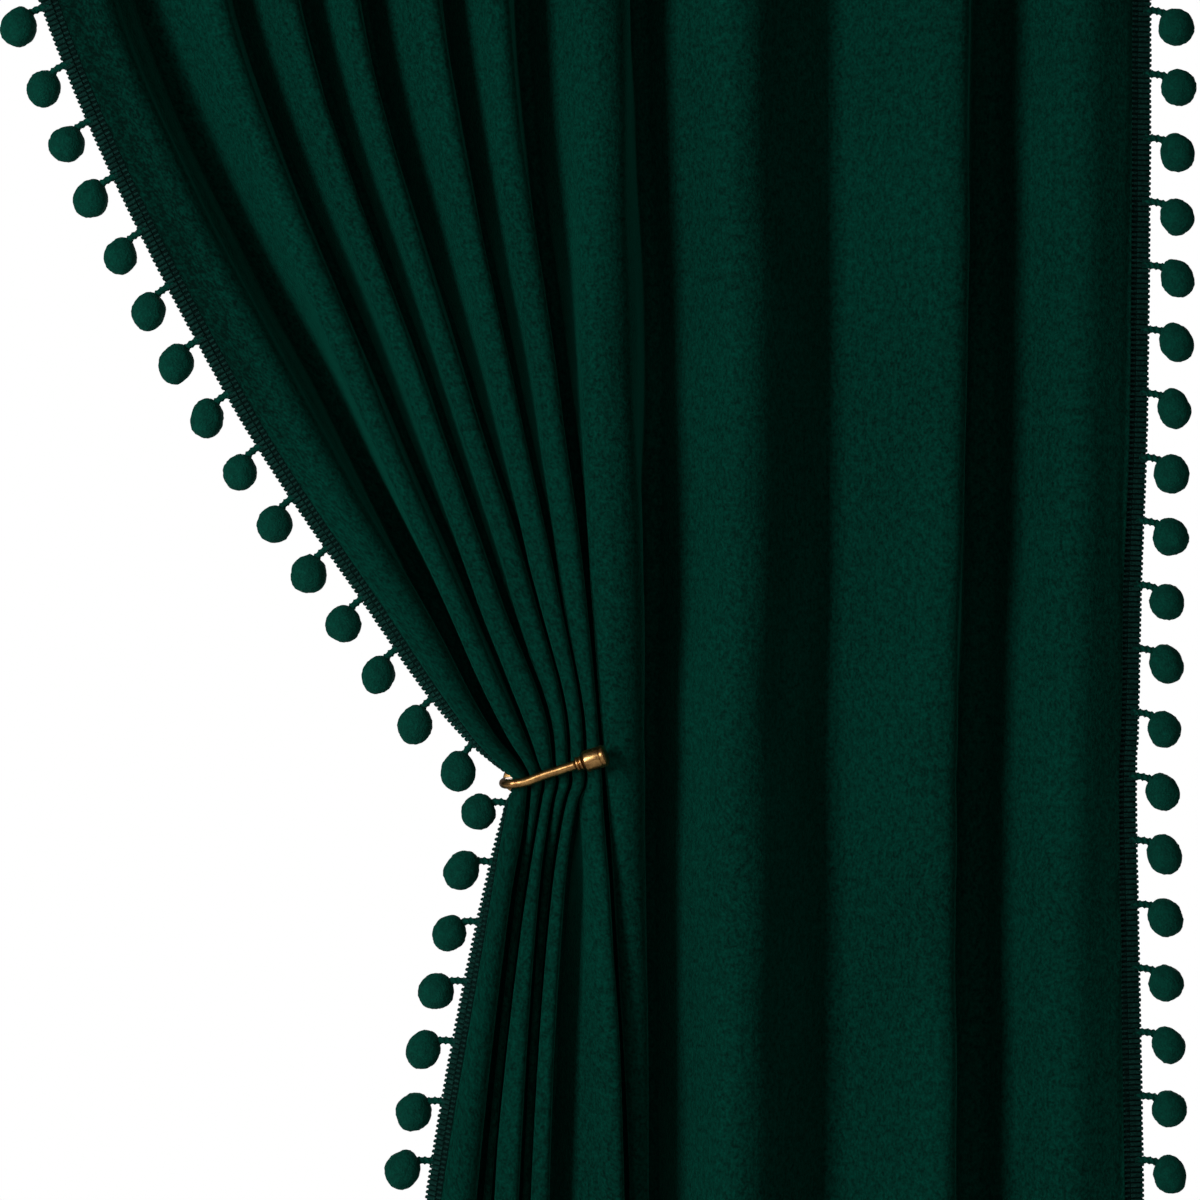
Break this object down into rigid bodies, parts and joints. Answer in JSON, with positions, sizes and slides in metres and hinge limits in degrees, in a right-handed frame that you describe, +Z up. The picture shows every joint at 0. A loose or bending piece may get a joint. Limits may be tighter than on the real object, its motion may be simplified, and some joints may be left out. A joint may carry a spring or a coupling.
{
  "type": "velvet curtain with holdback hook",
  "caption": "Pompom-edged velvet curtain panel hanging in uneven folds, its left side gathered in a brass holdback hook.",
  "frame": {"origin": "middle of the panel's top edge, between the fronts and the backs of its folds", "axes": "+X to the viewer's right, +Y away from the viewer towards the wall, +Z up"},
  "size_m": [0.84, 0.1039, 1.6],
  "materials": {
    "velvet": "dark green cotton velvet, cut pile",
    "trim": "dark green braid and pompoms",
    "brass": "antique brass, brushed and lacquered"
  },
  "bodies": {
    "root": {"velvet_panel": "velvet", "pompom_trim_left": "trim", "pompom_trim_right": "trim", "holdback_arm": "brass", "holdback_collar": "brass", "holdback_cap": "brass", "holdback_wall_plate": "brass"}
  },
  "joints": []
}
